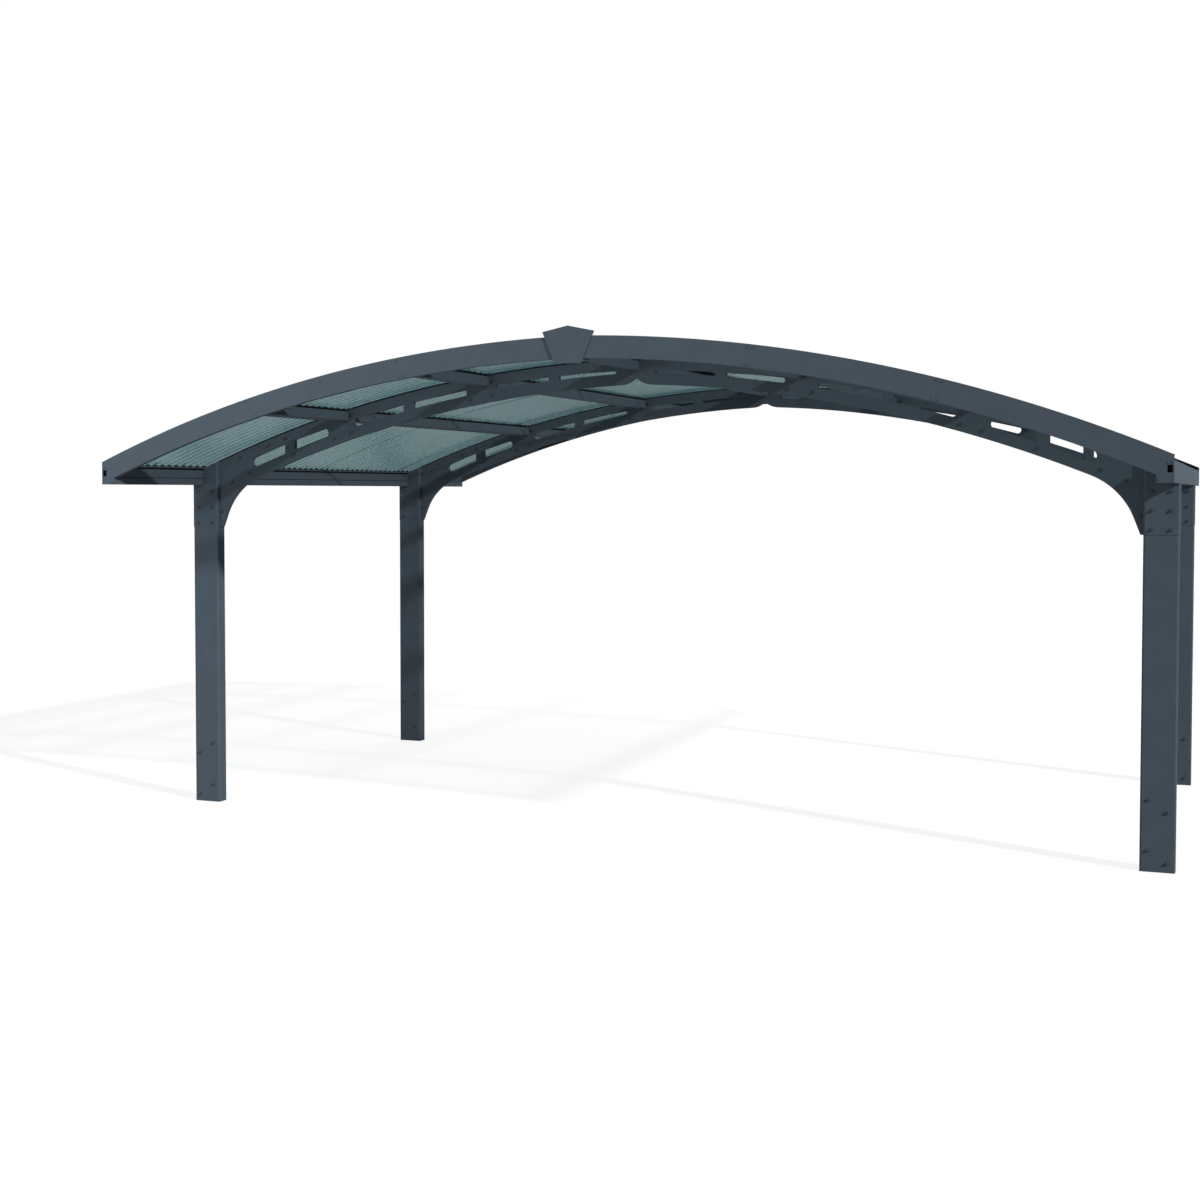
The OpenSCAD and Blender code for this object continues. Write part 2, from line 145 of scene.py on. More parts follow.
class NodeSketch:
    """One node material under construction."""

    def __init__(self, name: str) -> None:
        """Starts an empty material.

        Args:
            name: name of the new material.
        """
        self.material = bpy.data.materials.new(name)
        self.material.use_nodes = True
        self.tree = self.material.node_tree
        self.tree.nodes.clear()
        self.output = self.tree.nodes.new("ShaderNodeOutputMaterial")
        self._coords = self.tree.nodes.new("ShaderNodeTexCoord")

    @property
    def object_coords(self) -> bpy.types.NodeSocket:
        """Object coordinates, in metres of the row frame."""
        return self._coords.outputs["Object"]

    def add(self, kind: str, **inputs: object) -> bpy.types.Node:
        """Adds a node and fills its inputs.

        Args:
            kind: node type without the ShaderNode prefix.
            inputs: socket values or sockets to join, by socket name with _ for a space.

        Returns:
            The new node.
        """
        node = self.tree.nodes.new("ShaderNode" + kind)
        for key, value in inputs.items():
            socket = node.inputs[key.replace("_", " ")]
            if isinstance(value, bpy.types.NodeSocket):
                self.tree.links.new(value, socket)
            else:
                socket.default_value = value
        return node

    def join(self, first: bpy.types.Node, second: bpy.types.Node,
             share: bpy.types.NodeSocket | None = None) -> bpy.types.Node:
        """Adds two shaders or, with a share of the second, mixes them."""
        node = self.add("AddShader") if share is None else self.add("MixShader", Fac=share)
        for shader, socket in zip((first, second), node.inputs[-2:]):
            self.tree.links.new(shader.outputs[0], socket)
        return node

    def noise(self, scale: float, detail: float, rough: float = 0.5,
              stretch: Sequence[float] = (1, 1, 1)) -> bpy.types.NodeSocket:
        """Noise on object coordinates.

        Args:
            scale: features per metre.
            detail: octaves.
            rough: share of the finer octaves.
            stretch: scale along the three axes.

        Returns:
            The noise value, from 0 to 1.
        """
        place = self.add("Mapping", Vector=self.object_coords, Scale=tuple(stretch))
        grain = self.add("TexNoise", Vector=place.outputs[0], Scale=scale, Detail=detail,
                         Roughness=rough)
        return grain.outputs[0]

    def remap(self, value: bpy.types.NodeSocket, low: float, high: float,
              start: float = 0.3, stop: float = 0.7) -> bpy.types.NodeSocket:
        """Maps a value, mostly a noise, between two limits.

        Args:
            value: the value to map.
            low: result at start.
            high: result at stop.
            start: lower end of the values that count.
            stop: upper end of the values that count.

        Returns:
            The mapped value.
        """
        node = self.add("MapRange", Value=value, From_Min=start, From_Max=stop,
                        To_Min=low, To_Max=high)
        return node.outputs[0]

    def blend(self, share: bpy.types.NodeSocket, a: Colour, b: Colour) -> bpy.types.NodeSocket:
        """Colour between a and b by a share."""
        node = self.add("ValToRGB", Fac=share)
        node.color_ramp.elements[0].color = (*a, 1)
        node.color_ramp.elements[1].color = (*b, 1)
        return node.outputs[0]

    def finish(self, shader: bpy.types.NodeSocket) -> bpy.types.Material:
        """Joins the last shader to the output.

        Args:
            shader: output of the last shader node.

        Returns:
            The finished material.
        """
        self.tree.links.new(shader, self.output.inputs["Surface"])
        return self.material


@dataclass(frozen=True)
class PaintFinish:
    """Powder coat: a fine-grained, nearly matt paint with soft mottling."""

    name: str
    colour: Colour
    shade: Colour
    rough_low: float = 0.62
    rough_high: float = 0.74
    shine: float = 0.02
    mottle_scale: float = 9.0
    grain_scale: float = 420.0
    grain_depth: float = 0.0004
    grain_strength: float = 0.35
    edge_radius: float = 0.0012
    edge_samples: int = 4
    ior: float = 1.45

    def material(self) -> bpy.types.Material:
        """Builds the paint as a node material."""
        sketch = NodeSketch(self.name)
        mottle = sketch.noise(self.mottle_scale, detail=5, rough=0.6)
        grain = sketch.noise(self.grain_scale, detail=2)
        colour = sketch.blend(sketch.remap(mottle, 0, 1), self.shade, self.colour)
        rough = sketch.remap(mottle, self.rough_low, self.rough_high)
        edge = sketch.add("Bevel", Radius=self.edge_radius)
        edge.samples = self.edge_samples
        bump = sketch.add("Bump", Strength=self.grain_strength, Distance=self.grain_depth,
                          Height=grain, Normal=edge.outputs[0])
        paint = sketch.add("BsdfPrincipled", Base_Color=colour, Roughness=rough, Metallic=0.0,
                           IOR=self.ior, Specular_IOR_Level=self.shine, Normal=bump.outputs[0])
        return sketch.finish(paint.outputs[0])


@dataclass(frozen=True)
class SheetFinish:
    """Tinted clear plastic of the roof sheets, slightly milky."""

    name: str
    tint: Colour
    haze: Colour
    glow: Colour
    body: Colour
    clear_seen: float = 0.42
    clear_light: float = 0.75
    rough_low: float = 0.18
    rough_high: float = 0.26
    shine: float = 0.32
    ior: float = 1.5
    streak_scale: float = 7.0
    streak_stretch: tuple[float, float, float] = (0.4, 6.0, 0.4)
    streak_shade: float = 0.92

    def material(self) -> bpy.types.Material:
        """Builds the plastic: tinted to the eye, a plain filter to the light."""
        sketch = NodeSketch(self.name)
        streak = sketch.noise(self.streak_scale, detail=4, rough=0.6, stretch=self.streak_stretch)
        shade = tuple(channel * self.streak_shade for channel in self.body)
        colour = sketch.blend(sketch.remap(streak, 0, 1), shade, self.body)
        rough = sketch.remap(streak, self.rough_low, self.rough_high)
        gloss = sketch.add("BsdfPrincipled", Base_Color=colour, Roughness=rough, IOR=self.ior,
                           Specular_IOR_Level=self.shine)
        glow = sketch.add("BsdfTranslucent", Color=(*self.glow, 1))
        shadow = sketch.add("LightPath").outputs["Is Shadow Ray"]
        clear = sketch.add("BsdfTransparent", Color=sketch.blend(shadow, self.tint, self.haze))
        through = sketch.remap(shadow, self.clear_seen, self.clear_light, 0.0, 1.0)
        sheet = sketch.join(sketch.join(gloss, glow), clear, through)
        return sketch.finish(sheet.outputs[0])


@dataclass(frozen=True)
class FittingFinish:
    """Mottled and finely grained surface of the small fittings."""

    name: str
    colour: Colour
    shade: Colour
    mottle_scale: float
    grain_scale: float
    grain_strength: float
    grain_depth: float
    rough_low: float
    rough_high: float
    shine: float
    metal: float = 0.0

    def material(self) -> bpy.types.Material:
        """Builds the surface as a node material."""
        sketch = NodeSketch(self.name)
        mottle = sketch.noise(self.mottle_scale, detail=3)
        grain = sketch.noise(self.grain_scale, detail=2)
        colour = sketch.blend(sketch.remap(mottle, 0, 1), self.shade, self.colour)
        rough = sketch.remap(mottle, self.rough_low, self.rough_high)
        bump = sketch.add("Bump", Strength=self.grain_strength, Distance=self.grain_depth,
                          Height=grain)
        skin = sketch.add("BsdfPrincipled", Base_Color=colour, Roughness=rough,
                          Metallic=self.metal, Specular_IOR_Level=self.shine,
                          Normal=bump.outputs[0])
        return sketch.finish(skin.outputs[0])


@dataclass
class Palette:
    """The finishes of the carport, each made once."""

    frame: bpy.types.Material
    post: bpy.types.Material
    sheet: bpy.types.Material
    foam_and_shade: bpy.types.Material
    bolt: bpy.types.Material

    @classmethod
    def mixed(cls) -> "Palette":
        """Mixes all finishes."""
        frame = PaintFinish("frame_paint", (0.068, 0.089, 0.109), (0.061, 0.080, 0.098))
        post = PaintFinish("post_paint", (0.066, 0.088, 0.109), (0.059, 0.079, 0.098))
        sheet = SheetFinish("roof_sheet", tint=(0.78, 0.95, 0.97), haze=(0.945, 0.94, 0.945),
                            glow=(0.055, 0.11, 0.118), body=(0.06, 0.11, 0.115))
        # Near-black finish: the foam teeth's own colour, and painted shade on the strips and
        # inserts in gaps, slots, necks and drain windows
        foam_and_shade = FittingFinish("black_foam_and_shade", (0.006, 0.007, 0.008), (0.004, 0.004, 0.005),
                               mottle_scale=60.0, grain_scale=900.0, grain_strength=0.3,
                               grain_depth=0.0003, rough_low=0.7, rough_high=0.85, shine=0.05)
        bolt = FittingFinish("dark_plated_steel", (0.048, 0.063, 0.078), (0.036, 0.047, 0.059),
                             mottle_scale=140.0, grain_scale=1500.0, grain_strength=0.25,
                             grain_depth=0.0002, rough_low=0.4, rough_high=0.55, shine=0.2,
                             metal=0.2)
        return cls(*(finish.material() for finish in (frame, post, sheet, foam_and_shade, bolt)))


class Bench:
    """Workbench: the few moves that every modelled piece shares."""

    @staticmethod
    def clear() -> None:
        """Leaves edit mode and deselects everything."""
        if bpy.context.object and bpy.context.object.mode != "OBJECT":
            bpy.ops.object.mode_set(mode="OBJECT")
        bpy.ops.object.select_all(action="DESELECT")

    @staticmethod
    def take(piece: bpy.types.Object) -> None:
        """Makes a piece the only selected and the active one."""
        Bench.clear()
        piece.select_set(True)
        bpy.context.view_layer.objects.active = piece

    @staticmethod
    def edit(piece: bpy.types.Object, kind: str = "FACE") -> None:
        """Opens a piece in edit mode with faces or vertices to pick."""
        Bench.take(piece)
        bpy.ops.object.mode_set(mode="EDIT")
        bpy.ops.mesh.select_mode(type=kind)

    @staticmethod
    def settle(piece: bpy.types.Object) -> None:
        """Moves a new primitive's place, turn and scale into its mesh."""
        Bench.take(piece)
        bpy.ops.object.transform_apply(location=True, rotation=True, scale=True)

    @staticmethod
    def block(middle: Sequence[float], size: Sequence[float]) -> bpy.types.Object:
        """Starts a piece from a box.

        Args:
            middle: place of the box's middle.
            size: its lengths along the axes.

        Returns:
            The box, opened in edit mode.
        """
        Bench.clear()
        bpy.ops.mesh.primitive_cube_add(size=1, location=middle, scale=size)
        block = bpy.context.object
        Bench.settle(block)
        Bench.edit(block)
        return block

    @staticmethod
    def dot(place: Sequence[float]) -> bpy.types.Object:
        """Starts an edge line from one point.

        Args:
            place: where the line starts.

        Returns:
            The line, opened in edit mode with its point selected.
        """
        Bench.clear()
        bpy.ops.mesh.primitive_plane_add(size=WELD, location=place)
        line = bpy.context.object
        Bench.settle(line)
        Bench.edit(line, "VERT")
        bpy.ops.mesh.select_all(action="SELECT")
        bpy.ops.mesh.merge(type="CENTER")
        return line

    @staticmethod
    def sweep(centre: Vector, angle: float, steps: int) -> None:
        """Spins the selection round an axis along Y and welds the piece, in edit mode.

        Args:
            centre: point on the axis.
            angle: turn in radians.
            steps: number of steps.
        """
        bpy.ops.mesh.spin(steps=steps, angle=angle, center=centre, axis=(0, 1, 0))
        bpy.ops.mesh.select_all(action="SELECT")
        bpy.ops.mesh.remove_doubles(threshold=WELD)
        bpy.ops.mesh.normals_make_consistent(inside=False)

    @staticmethod
    def pick(piece: bpy.types.Object, kind: str, test: Callable[[Item], bool]) -> None:
        """Selects the items of a piece that pass a test, in edit mode.

        Args:
            piece: object in edit mode.
            kind: "faces" or "verts".
            test: says whether an item is picked.
        """
        bpy.ops.mesh.select_all(action="DESELECT")
        mesh = bmesh.from_edit_mesh(piece.data)
        for item in mesh.faces if kind == "faces" else mesh.verts:
            item.select_set(test(item))
        bmesh.update_edit_mesh(piece.data)

    @staticmethod
    def push(move: Sequence[float]) -> None:
        """Extrudes what is selected by a move."""
        bpy.ops.mesh.extrude_region_move(TRANSFORM_OT_translate={"value": tuple(move)})

    @staticmethod
    def inset(width: float) -> None:
        """Insets the selected faces."""
        bpy.ops.mesh.inset(thickness=width, depth=0)

    @staticmethod
    def apply(piece: bpy.types.Object, kind: str, **settings: object) -> None:
        """Adds a modifier with its settings and applies it.

        Args:
            piece: object to change.
            kind: modifier type.
            settings: its properties.
        """
        Bench.take(piece)
        modifier = piece.modifiers.new(kind.lower(), kind)
        for key, value in settings.items():
            setattr(modifier, key, value)
        bpy.ops.object.modifier_apply(modifier=modifier.name)

    @staticmethod
    def smooth(piece: bpy.types.Object, degrees: float) -> None:
        """Shades a piece smooth where its faces meet at less than an angle."""
        Bench.take(piece)
        bpy.ops.object.shade_smooth_by_angle(angle=math.radians(degrees))

    @staticmethod
    def seat(piece: bpy.types.Object, name: str, material: bpy.types.Material, slot: Slot) -> None:
        """Names and paints a finished piece and lets it ride on the carport.

        Args:
            piece: finished object.
            name: its name.
            material: its finish.
            slot: material slot of the record that it belongs to; not used.
        """
        piece.name = name
        piece.data.name = name
        piece.data.materials.clear()
        piece.data.materials.append(material)
        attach(piece, BODY)
        LOG.info("%s: %d faces", name, len(piece.data.polygons))

    @staticmethod
    def gang(model: bpy.types.Object, places: Iterable[Matrix]) -> bpy.types.Object:
        """Copies a model to many places and joins the copies.

        Args:
            model: object that is copied, which stays.
            places: transform of each copy.

        Returns:
            The joined object, at the origin.
        """
        copies = []
        for place in places:
            copy = model.copy()
            copy.data = model.data.copy()
            copy.data.transform(place)
            bpy.context.scene.collection.objects.link(copy)
            copies.append(copy)
        Bench.clear()
        for copy in copies:
            copy.select_set(True)
        bpy.context.view_layer.objects.active = copies[0]
        bpy.ops.object.join()
        return copies[0]

    @staticmethod
    def discard(model: bpy.types.Object) -> None:
        """Removes a model after its last copy."""
        mesh = model.data
        bpy.data.objects.remove(model)
        bpy.data.meshes.remove(mesh)


def facing(point: Sequence[float], normal: Sequence[float]) -> Matrix:
    """Transform that sets a fitting's foot on a point with its head along a normal.

    Args:
        point: place of the foot.
        normal: direction of the head.

    Returns:
        The transform.
    """
    turn = Vector(normal).to_track_quat("Z", "Y").to_matrix().to_4x4()
    return Matrix.Translation(Vector(point)) @ turn


@dataclass(frozen=True)
class Arch:
    """Arc that a layer of the roof follows, given for the right half."""

    radius: float
    offset: float = 0.130
    centre_z: float = ROOF_EDGE_Z - math.sqrt(ROOF_RADIUS**2 - ROOF_REACH**2)

    def height(self, x: float) -> float:
        """Height of the arc at a distance from the middle line."""
        return self.centre_z + math.sqrt(self.radius**2 - (x + self.offset) ** 2)

    def lean(self, x: float) -> float:
        """Angle between the arc's normal and the vertical, in radians."""
        return math.asin((x + self.offset) / self.radius)

    def centre(self, side: Side) -> Vector:
        """Centre of the arc on one half."""
        return Vector((-side.value * self.offset, 0, self.centre_z))

    def normal(self, side: Side, x: float) -> Vector:
        """Outward normal of the arc on one half."""
        lean = self.lean(x)
        return Vector((side.value * math.sin(lean), 0, math.cos(lean)))

    def point(self, side: Side, x: float, y: float, lift: float = 0.0) -> Vector:
        """Point over the arc.

        Args:
            side: half of the carport.
            x: distance from the middle line.
            y: place along the carport.
            lift: height above the arc, along its normal.

        Returns:
            The point.
        """
        on_arc = Vector((side.value * x, y, self.height(x)))
        return on_arc + self.normal(side, x) * lift


@dataclass
class RoofSheets:
    """Corrugated sheets, each bent along one half of the arch."""

    material: bpy.types.Material
    arch: Arch = field(default_factory=lambda: Arch(7.5539))
    run: float = 4.764
    count: int = 4
    waves: int = 16
    wave_depth: float = 0.011
    thickness: float = 0.002
    lap_rise: float = 0.0023
    low_x: float = 2.872
    ridge_x: float = 0.006
    wave_points: int = 12
    bend_steps: int = 96
    lap_points: int = 4

    @property
    def pitch(self) -> float:
        """Width of one corrugation."""
        return self.run / self.count / self.waves

    def rise(self, index: int) -> float:
        """Height of a sheet over the lower ones, so that each second one laps over."""
        return self.lap_rise if index % 2 == 0 else 0.0

    def crest_top(self, wave: int) -> float:
        """Height of the upper face of a crest above the arch."""
        return self.rise(wave // self.waves + 1) + self.wave_depth + self.thickness

    def crest_y(self, wave: int) -> float:
        """Place of a crest along the carport."""
        return -self.run / 2 + (wave + 0.5) * self.pitch

    def build(self) -> None:
        """Makes all sheets in place of the plain ones."""
        for side in Side:
            for index in range(1, self.count + 1):
                sheet = self.bend(side, index)
                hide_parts(f"sheet_{side.word}_{index}")
                Bench.seat(sheet, f"roof_sheet_{side.word}_{index}", self.material, Slot.SHEET)

    def wave(self, side: Side, index: int) -> bpy.types.Object:
        """Draws the edge line of a sheet along the ridge.

        Args:
            side: half of the carport.
            index: number of the sheet from the front, from 1.

        Returns:
            The edge line as an object.
        """
        out = self.arch.normal(side, self.ridge_x)
        start_y = -self.run / 2 + (index - 1) * self.run / self.count
        start = self.arch.point(side, self.ridge_x, start_y, self.rise(index))
        line = Bench.dot(start)
        self.draw(out, self.wave_points)
        Bench.apply(line, "ARRAY", count=self.waves, use_relative_offset=False,
                    use_constant_offset=True, constant_offset_displace=(0, self.pitch, 0),
                    use_merge_vertices=True, merge_threshold=WELD)
        if index < self.count:
            last_y = start_y + self.waves * self.pitch
            Bench.edit(line, "VERT")
            Bench.pick(line, "verts", lambda v: v.co.y > last_y - 10 * WELD)
            self.draw(out, self.lap_points)
            Bench.clear()
        return line

    def draw(self, out: Vector, points: int) -> None:
        """Draws part of a corrugation on from the selected valley point.

        Args:
            out: direction of the crests.
            points: number of points to draw.
        """
        height = 0.0
        for k in range(1, points + 1):
            level = self.wave_depth * (1 - math.cos(math.tau * k / self.wave_points)) / 2
            Bench.push(out * (level - height) + Vector((0, self.pitch / self.wave_points, 0)))
            height = level

    def bend(self, side: Side, index: int) -> bpy.types.Object:
        """Sweeps the edge line down the arch and gives the sheet its thickness.

        Args:
            side: half of the carport.
            index: number of the sheet from the front, from 1.

        Returns:
            The sheet.
        """
        sheet = self.wave(side, index)
        turn = self.arch.lean(self.low_x) - self.arch.lean(self.ridge_x)
        Bench.edit(sheet, "VERT")
        bpy.ops.mesh.select_all(action="SELECT")
        Bench.sweep(self.arch.centre(side), -side.value * turn, self.bend_steps)
        Bench.clear()
        if sheet.data.polygons[0].normal.z < 0:
            Bench.edit(sheet)
            bpy.ops.mesh.select_all(action="SELECT")
            bpy.ops.mesh.flip_normals()
        Bench.apply(sheet, "SOLIDIFY", thickness=self.thickness, offset=1.0)
        Bench.smooth(sheet, 40)
        return sheet


@dataclass
class Fastener:
    """Round-headed fastener on a flange, with an optional socket."""

    flange_r: float
    flange_t: float
    head_r: float
    head_h: float
    dome: float
    socket_r: float = 0.0
    socket_depth: float = 0.0
    crown_share: float = 0.7
    sides: int = 12

    def build(self) -> bpy.types.Object:
        """Models the fastener with its foot at the origin and its head along Z.

        Returns:
            The model to copy.
        """
        Bench.clear()
        bpy.ops.mesh.primitive_cylinder_add(vertices=self.sides, radius=self.flange_r,
                                            depth=self.flange_t, end_fill_type="NGON",
                                            location=(0, 0, self.flange_t / 2))
        bolt = bpy.context.object
        Bench.settle(bolt)
        Bench.edit(bolt)
        Bench.pick(bolt, "faces", lambda f: f.normal.z > FACING)
        Bench.inset(self.flange_r - self.head_r)
        Bench.push((0, 0, self.head_h))
        Bench.inset(self.head_r * (1 - self.crown_share))
        bpy.ops.transform.translate(value=(0, 0, self.dome))
        if self.socket_r:
            Bench.inset(self.head_r * self.crown_share - self.socket_r)
            Bench.push((0, 0, -self.socket_depth))
        Bench.smooth(bolt, 35)
        return bolt


@dataclass
class PostBolts:
    """Bolts through post heads and post feet, on both faces."""

    material: bpy.types.Material
    bolt: Fastener = field(default_factory=lambda: Fastener(
        0.010, 0.0016, 0.0076, 0.0065, 0.0026, 0.0034, 0.0035))
    head_rows: tuple[float, ...] = (1.739, 1.836, 1.934)
    head_columns: tuple[float, ...] = (0.040, 0.134)
    foot_outer: tuple[float, ...] = (0.046, 0.307)
    foot_inner: tuple[float, ...] = (0.109, 0.368)
    foot_column: float = 0.046

    def build(self) -> None:
        """Sets the bolts of all four posts."""
        model = self.bolt.build()
        for side, end in QUARTERS:
            tag = tag_of(side, end)
            heads = Bench.gang(model, self.head_places(side, tag))
            Bench.seat(heads, f"head_bolts_{tag}", self.material, Slot.POST)
            feet = Bench.gang(model, self.foot_places(side, tag))
            Bench.seat(feet, f"foot_bolts_{tag}", self.material, Slot.POST)
        Bench.discard(model)

    def head_places(self, side: Side, tag: str) -> list[Matrix]:
        """Places of the bolts on one post head.

        Args:
            side: half of the carport.
            tag: end and side as in the node names.

        Returns:
            One transform for each bolt.
        """
        low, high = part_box(f"head_{tag}")
        inner = low.x if side is Side.RIGHT else high.x
        return [facing((inner + side.value * column, y, z), (0, sign, 0))
                for y, sign in faces_of(f"head_{tag}")
                for column in self.head_columns for z in self.head_rows]

    def foot_places(self, side: Side, tag: str) -> list[Matrix]:
        """Places of the bolts at one post foot.

        Args:
            side: half of the carport.
            tag: end and side as in the node names.

        Returns:
            One transform for each bolt.
        """
        low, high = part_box(f"post_{tag}")
        middle = (low.x + high.x) / 2
        rows = [(1, z) for z in self.foot_outer] + [(-1, z) for z in self.foot_inner]
        return [facing((middle + side.value * out * self.foot_column, y, z), (0, sign, 0))
                for y, sign in faces_of(f"post_{tag}") for out, z in rows]


@dataclass
class TrussBolts:
    """Small bolts through the chords of the trusses, on both faces."""

    material: bpy.types.Material
    bolt: Fastener = field(default_factory=lambda: Fastener(
        0.0095, 0.0016, 0.007, 0.005, 0.0024, 0.0032, 0.003))
    top: Arch = field(default_factory=lambda: Arch(7.5459))
    low_radius: float = 7.09
    low_offset: float = 0.21
    low_centre_z: float = -4.5506
    chord_edge: float = 0.036
    head_edge: float = 0.045
    low_xs: tuple[float, ...] = (0.875, 1.012, 1.80, 1.914, 2.195)
    head_xs: tuple[float, ...] = (2.51, 2.635)
    top_xs: tuple[float, ...] = (0.875, 0.975, 1.80, 1.90, 2.247, 2.368, 2.572)
    toe: tuple[float, float] = (2.707, 1.807)

    def build(self) -> None:
        """Sets the bolts of all four truss halves."""
        model = self.bolt.build()
        for side, end in QUARTERS:
            tag = tag_of(side, end)
            places = [facing((side.value * x, y, z), (0, sign, 0))
                      for y, sign in faces_of(f"truss_{tag}") for x, z in self.points()]
            Bench.seat(Bench.gang(model, places), f"truss_bolts_{tag}", self.material, Slot.FRAME)
        Bench.discard(model)

    def low_height(self, x: float) -> float:
        """Height of a truss's lower edge at a distance from the middle line."""
        return self.low_centre_z + math.sqrt(self.low_radius**2 - (x + self.low_offset) ** 2)

    def points(self) -> list[tuple[float, float]]:
        """Places of the bolts of one half, as distance from the middle line and height."""
        low = [(x, self.low_height(x) + self.chord_edge) for x in self.low_xs]
        low += [(x, self.low_height(x) + self.head_edge) for x in self.head_xs]
        top = [(x, self.top.height(x) - self.chord_edge) for x in self.top_xs]
        return [*low, *top, self.toe]


@dataclass
class FasciaRivets:
    """Rivets at the joints of the fascia and on its end tabs."""

    material: bpy.types.Material
    rivet: Fastener = field(default_factory=lambda: Fastener(
        0.0055, 0.0008, 0.0046, 0.0012, 0.0012))
    face: Arch = field(default_factory=lambda: Arch(ROOF_RADIUS))
    band: float = 0.115
    joints: tuple[float, ...] = (0.925, 1.85)
    left_lap: float = 0.076
    aside: float = 0.014
    edge: float = 0.014
    tab_places: tuple[tuple[float, float], ...] = ((2.834, 1.987), (2.872, 2.066), (2.893, 2.066))

    def build(self) -> None:
        """Sets the rivets of both fascia arches."""
        model = self.rivet.build()
        for end in End:
            y = outer_face(f"fascia_{end.word}_left_middle", end)
            for side in Side:
                places = [facing((p.x, y, p.z), (0, end.value, 0)) for p in self.points(side)]
                Bench.seat(Bench.gang(model, places), f"fascia_rivets_{tag_of(side, end)}",
                           self.material, Slot.FRAME)
        Bench.discard(model)

    def points(self, side: Side) -> list[Vector]:
        """Places of the rivets on one half of a fascia.

        Args:
            side: half of the carport.

        Returns:
            Points in the plane of the arch.
        """
        lap = self.left_lap if side is Side.LEFT else 0.0
        places = [self.face.point(side, joint + lap + shift, 0, -drop)
                  for joint in self.joints for shift in (-self.aside, self.aside)
                  for drop in (self.edge, self.band - self.edge)]
        tab = [Vector((side.value * x, 0, z)) for x, z in self.tab_places]
        return places + tab


@dataclass
class RoofScrews:
    """Screws with sealing washers through the crests, over purlins and eaves."""

    material: bpy.types.Material
    sheets: RoofSheets
    screw: Fastener = field(default_factory=lambda: Fastener(
        0.011, 0.0012, 0.006, 0.0018, 0.0008))
    lines: tuple[float, ...] = (0.925, 1.85, 2.812)
    every: int = 4
    first: int = 1

    def build(self) -> None:
        """Sets the screws of all lines."""
        model = self.screw.build()
        total = self.sheets.count * self.sheets.waves
        for side in Side:
            for number, x in enumerate(self.lines, 1):
                normal = self.sheets.arch.normal(side, x)
                places = []
                for wave in range(self.first, total, self.every):
                    lift = self.sheets.crest_top(wave)
                    at = self.sheets.arch.point(side, x, self.sheets.crest_y(wave), lift)
                    places.append(facing(at, normal))
                Bench.seat(Bench.gang(model, places), f"roof_screws_{side.word}_{number}",
                           self.material, Slot.FRAME)
        Bench.discard(model)


@dataclass
class WaveClosuresAndShade:
    """Foam teeth that fill the crests of the sheets over purlins and eaves; their near-black also
    paints the shade under the crests.
    """

    material: bpy.types.Material
    sheets: RoofSheets
    rows: tuple[tuple[float, float], ...] = (
        (0.009, 0.006), (0.925, 0.020), (1.85, 0.020), (2.829, 0.012))
    points: int = 8
    clearance: float = 0.0004

    def build(self) -> None:
        """Sets the teeth of every row."""
        model = self.tooth()
        for side in Side:
            for number, (x, width) in enumerate(self.rows):
                places = [self.place(side, x, width, wave)
                          for wave in range(self.sheets.count * self.sheets.waves)]
                Bench.seat(Bench.gang(model, places), f"wave_closure_{side.word}_{number}",
                           self.material, Slot.FRAME)
        Bench.discard(model)

    def level(self, k: int) -> float:
        """Height of the tooth at one of its points, just under the sheet."""
        under = self.sheets.wave_depth * (1 - math.cos(math.tau * k / self.points)) / 2
        return under - self.clearance

    def tooth(self) -> bpy.types.Object:
        """Models one tooth, one metre wide across the row, with its foot on the arch.

        Returns:
            The model to copy.
        """
        step = self.sheets.pitch / self.points
        tooth = Bench.dot((-1 / 2, step - self.sheets.pitch / 2, 0))
        height = 0.0
        for k in range(1, self.points):
            Bench.push((0, step if k > 1 else 0, self.level(k) - height))
            height = self.level(k)
        Bench.push((0, 0, -height))
        bpy.ops.mesh.select_all(action="SELECT")
        bpy.ops.mesh.edge_face_add()
        Bench.push((1, 0, 0))
        bpy.ops.mesh.select_all(action="SELECT")
        bpy.ops.mesh.normals_make_consistent(inside=False)
        Bench.smooth(tooth, 35)
        return tooth

    def place(self, side: Side, x: float, width: float, wave: int) -> Matrix:
        """Transform of one tooth.

        Args:
            side: half of the carport.
            x: distance of the row from the middle line.
            width: width of the row across the arch.
            wave: number of the crest from the front.

        Returns:
            The transform, which stretches the tooth up to the sheet over it.
        """
        arch = self.sheets.arch
        normal = arch.normal(side, x)
        along = Vector((normal.z, 0, -normal.x))
        at = arch.point(side, x, self.sheets.crest_y(wave))
        turn = Matrix((along, Vector((0, 1, 0)), normal)).transposed().to_4x4()
        reach = 1 + self.sheets.rise(wave // self.sheets.waves + 1) / self.sheets.wave_depth
        return Matrix.Translation(at) @ turn @ Matrix.Diagonal((width, 1, reach, 1))


